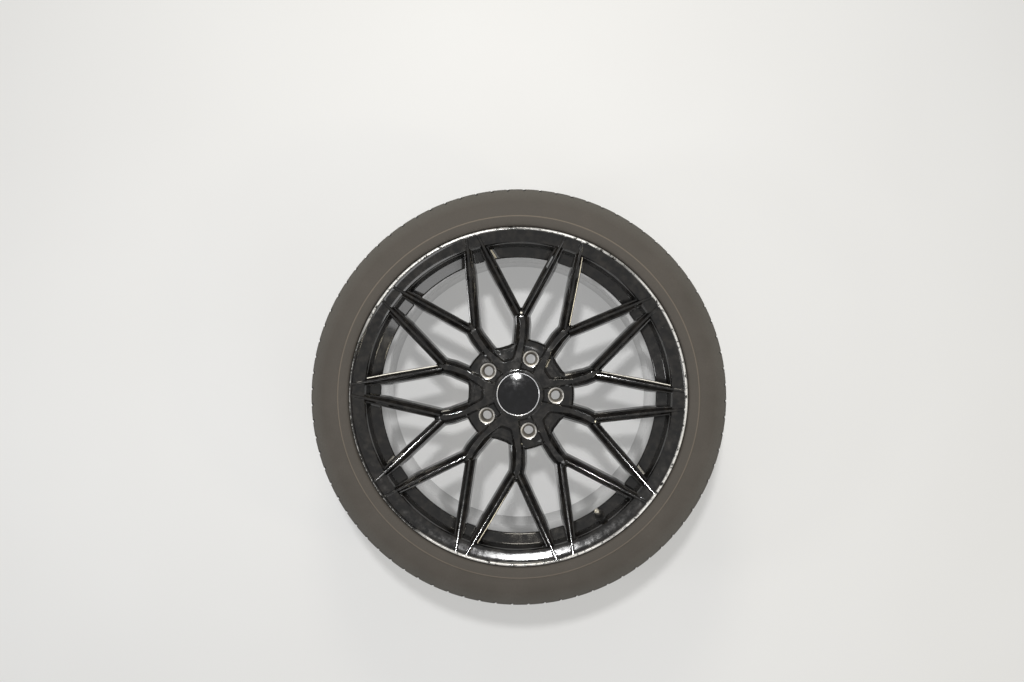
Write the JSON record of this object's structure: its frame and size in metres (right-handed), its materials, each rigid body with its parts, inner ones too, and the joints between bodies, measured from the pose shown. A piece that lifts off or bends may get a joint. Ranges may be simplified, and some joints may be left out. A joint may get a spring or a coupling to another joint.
{
  "type": "alloy wheel",
  "caption": "One-piece cast car wheel with Y-shaped spokes, a low-profile tyre, a centre cap and a snap-in valve.",
  "frame": {"origin": "on the wheel's axis, in the plane of the hub's mounting face", "axes": "+Z along the wheel's axis towards the street side, +X through the middle of a bolt hole"},
  "size_m": [0.652, 0.6518, 0.248],
  "materials": {
    "paint": "gloss",
    "tyre": "dusty, matt",
    "cap_plastic": "gloss",
    "chrome": "polished",
    "spring_steel": "plain",
    "valve_rubber": "matt",
    "brass": "worn nickel plate"
  },
  "bodies": {
    "wheel_assembly": {"wheel": "paint", "tyre": "tyre", "centre_cap": "cap_plastic", "cap_trim_ring": "chrome", "cap_disc": "cap_plastic", "cap_spring_ring": "spring_steel", "valve_rubber": "valve_rubber", "valve_stem": "brass", "valve_core": "brass", "valve_core_spring": "spring_steel"},
    "valve_pin": {"valve_core_pin": "brass"}
  },
  "joints": [
    {"name": "valve_pin_press", "type": "slide", "parent": "wheel_assembly", "child": "valve_pin", "axis": [0.2668, -0.3673, -0.891], "range_m": [0, 0.0012], "stiffness_N_per_m": 400, "deforming": ["valve_core_spring"]}
  ]
}
